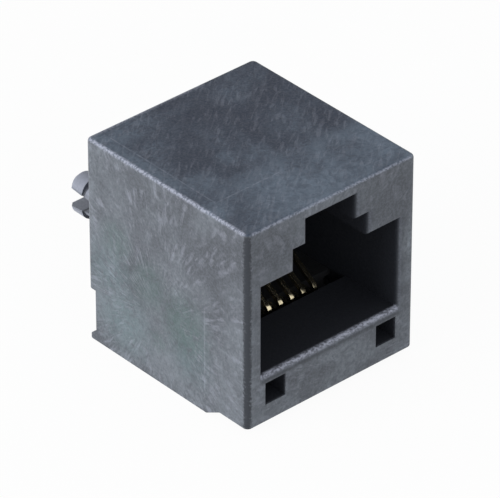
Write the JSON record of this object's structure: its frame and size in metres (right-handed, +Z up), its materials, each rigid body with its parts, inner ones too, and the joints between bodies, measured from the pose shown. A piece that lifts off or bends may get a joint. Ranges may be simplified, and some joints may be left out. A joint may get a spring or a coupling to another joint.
{
  "type": "rj45 board jack",
  "caption": "Vertical modular data jack in black plastic with a stepped latch notch, spring contacts, light windows and split snap pegs on its board side.",
  "frame": {"origin": "on the resting face under the jack, in the middle of the width and of the whole length with the snap pegs", "axes": "+X to the right looking into the opening, +Y from the plug opening back into the board, +Z up towards the latch notch"},
  "size_m": [0.0148, 0.0192, 0.0158],
  "materials": {
    "housing": "fine moulded satin, lightly scuffed",
    "contact_carrier": "moulded satin",
    "contact": "thin gold plating over a copper alloy"
  },
  "bodies": {
    "root": {"housing": "housing", "contact_carrier": "contact_carrier", "contact_1": "contact", "contact_2": "contact", "contact_3": "contact", "contact_4": "contact", "contact_5": "contact", "contact_6": "contact", "contact_7": "contact", "contact_8": "contact"}
  },
  "joints": []
}
